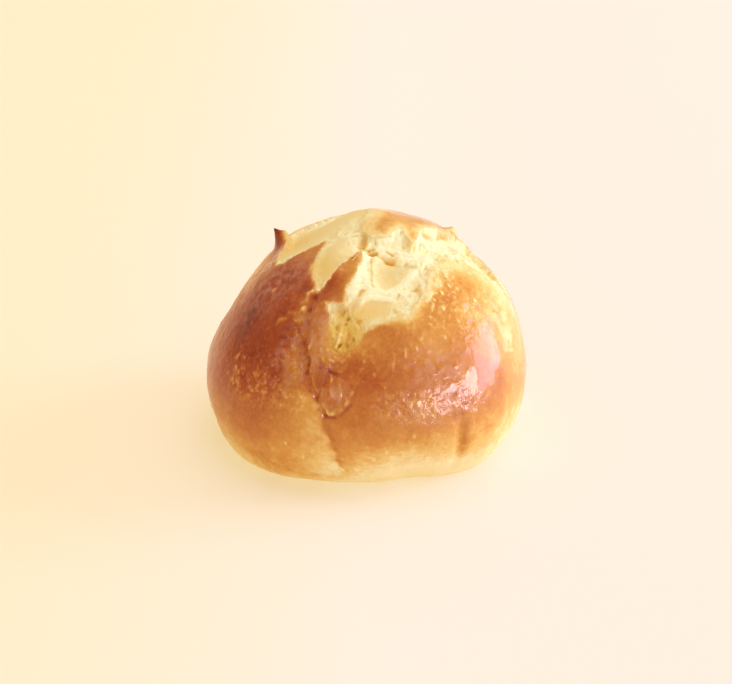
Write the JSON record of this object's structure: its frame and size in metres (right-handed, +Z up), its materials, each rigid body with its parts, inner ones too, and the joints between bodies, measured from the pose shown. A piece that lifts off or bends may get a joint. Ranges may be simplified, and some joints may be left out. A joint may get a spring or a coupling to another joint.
{
  "type": "brioche bun",
  "caption": "Domed brioche bun with a glazed browned crust, its snipped top opened into petals over torn pale crumb, on a flat base.",
  "frame": {"origin": "middle of the flat base the bun rests on", "axes": "+Z up through the crown; -Y is the bun's front, where the torn crumb shows most; +X is the bun's right as seen from its front"},
  "size_m": [0.0924, 0.0923, 0.0662],
  "materials": {
    "crust": "egg-glazed browned crust, semi-gloss, with matte pale crumb in the torn top"
  },
  "bodies": {
    "root": {"brioche_bun": "crust"}
  },
  "joints": []
}
